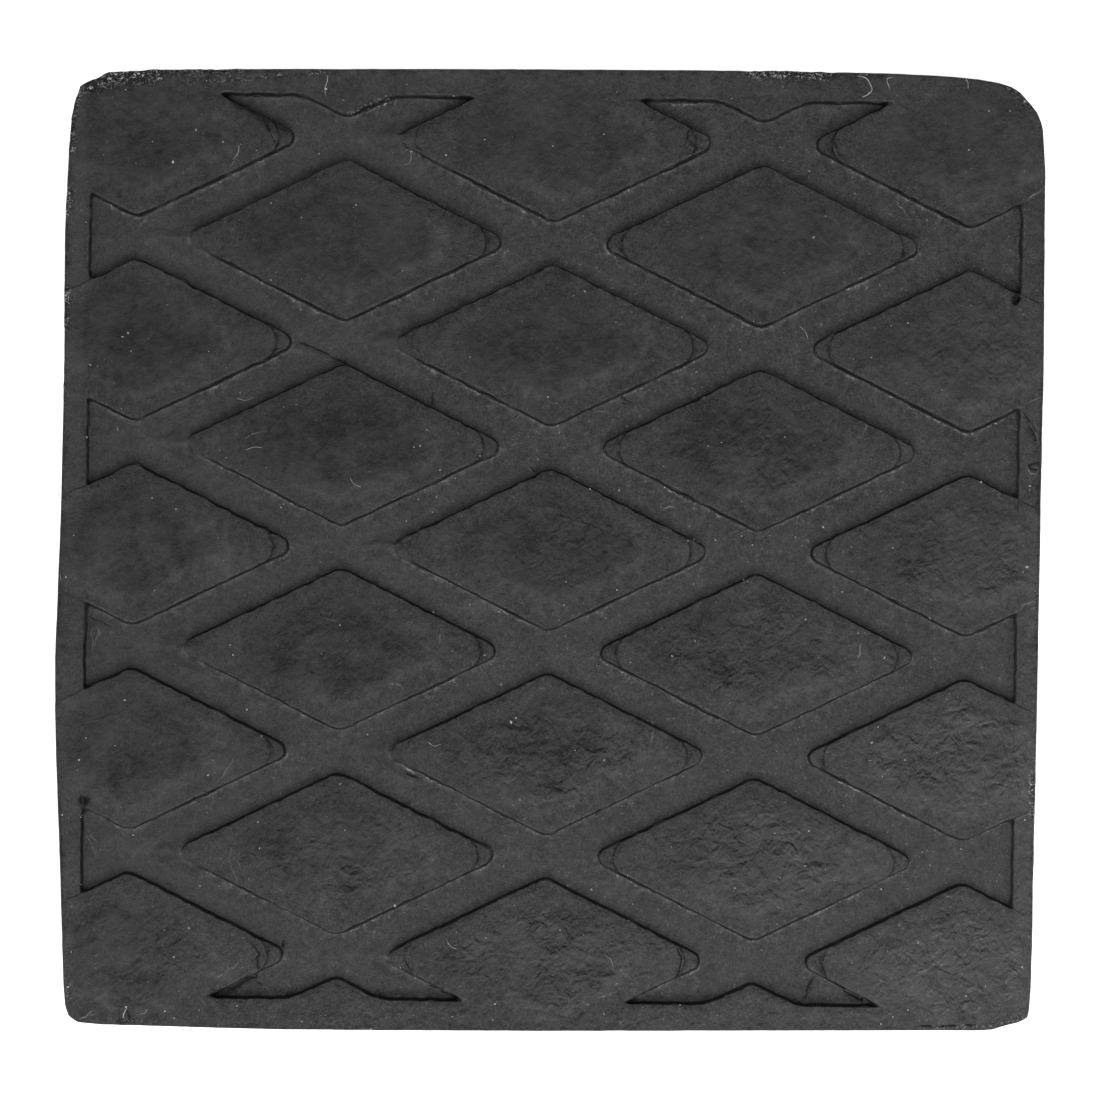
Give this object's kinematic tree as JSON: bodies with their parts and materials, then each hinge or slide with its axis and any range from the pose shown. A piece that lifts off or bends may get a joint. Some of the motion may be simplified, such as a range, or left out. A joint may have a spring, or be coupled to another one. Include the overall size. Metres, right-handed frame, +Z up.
{
  "type": "car lift rubber pad",
  "caption": "Square moulded rubber pad for a vehicle lift arm, with a raised diamond tread, crossing grooves and a low rim.",
  "frame": {"origin": "middle of the underside", "axes": "+X along the long axis of the diamonds, +Y to the back edge, +Z up out of the tread"},
  "size_m": [0.1508, 0.1479, 0.0202],
  "materials": {
    "rubber": "dark grey-black moulded rubber, matte, slightly wrinkled on the faces of the diamonds, with pale dust"
  },
  "bodies": {
    "root": {"pad": "rubber"}
  },
  "joints": []
}
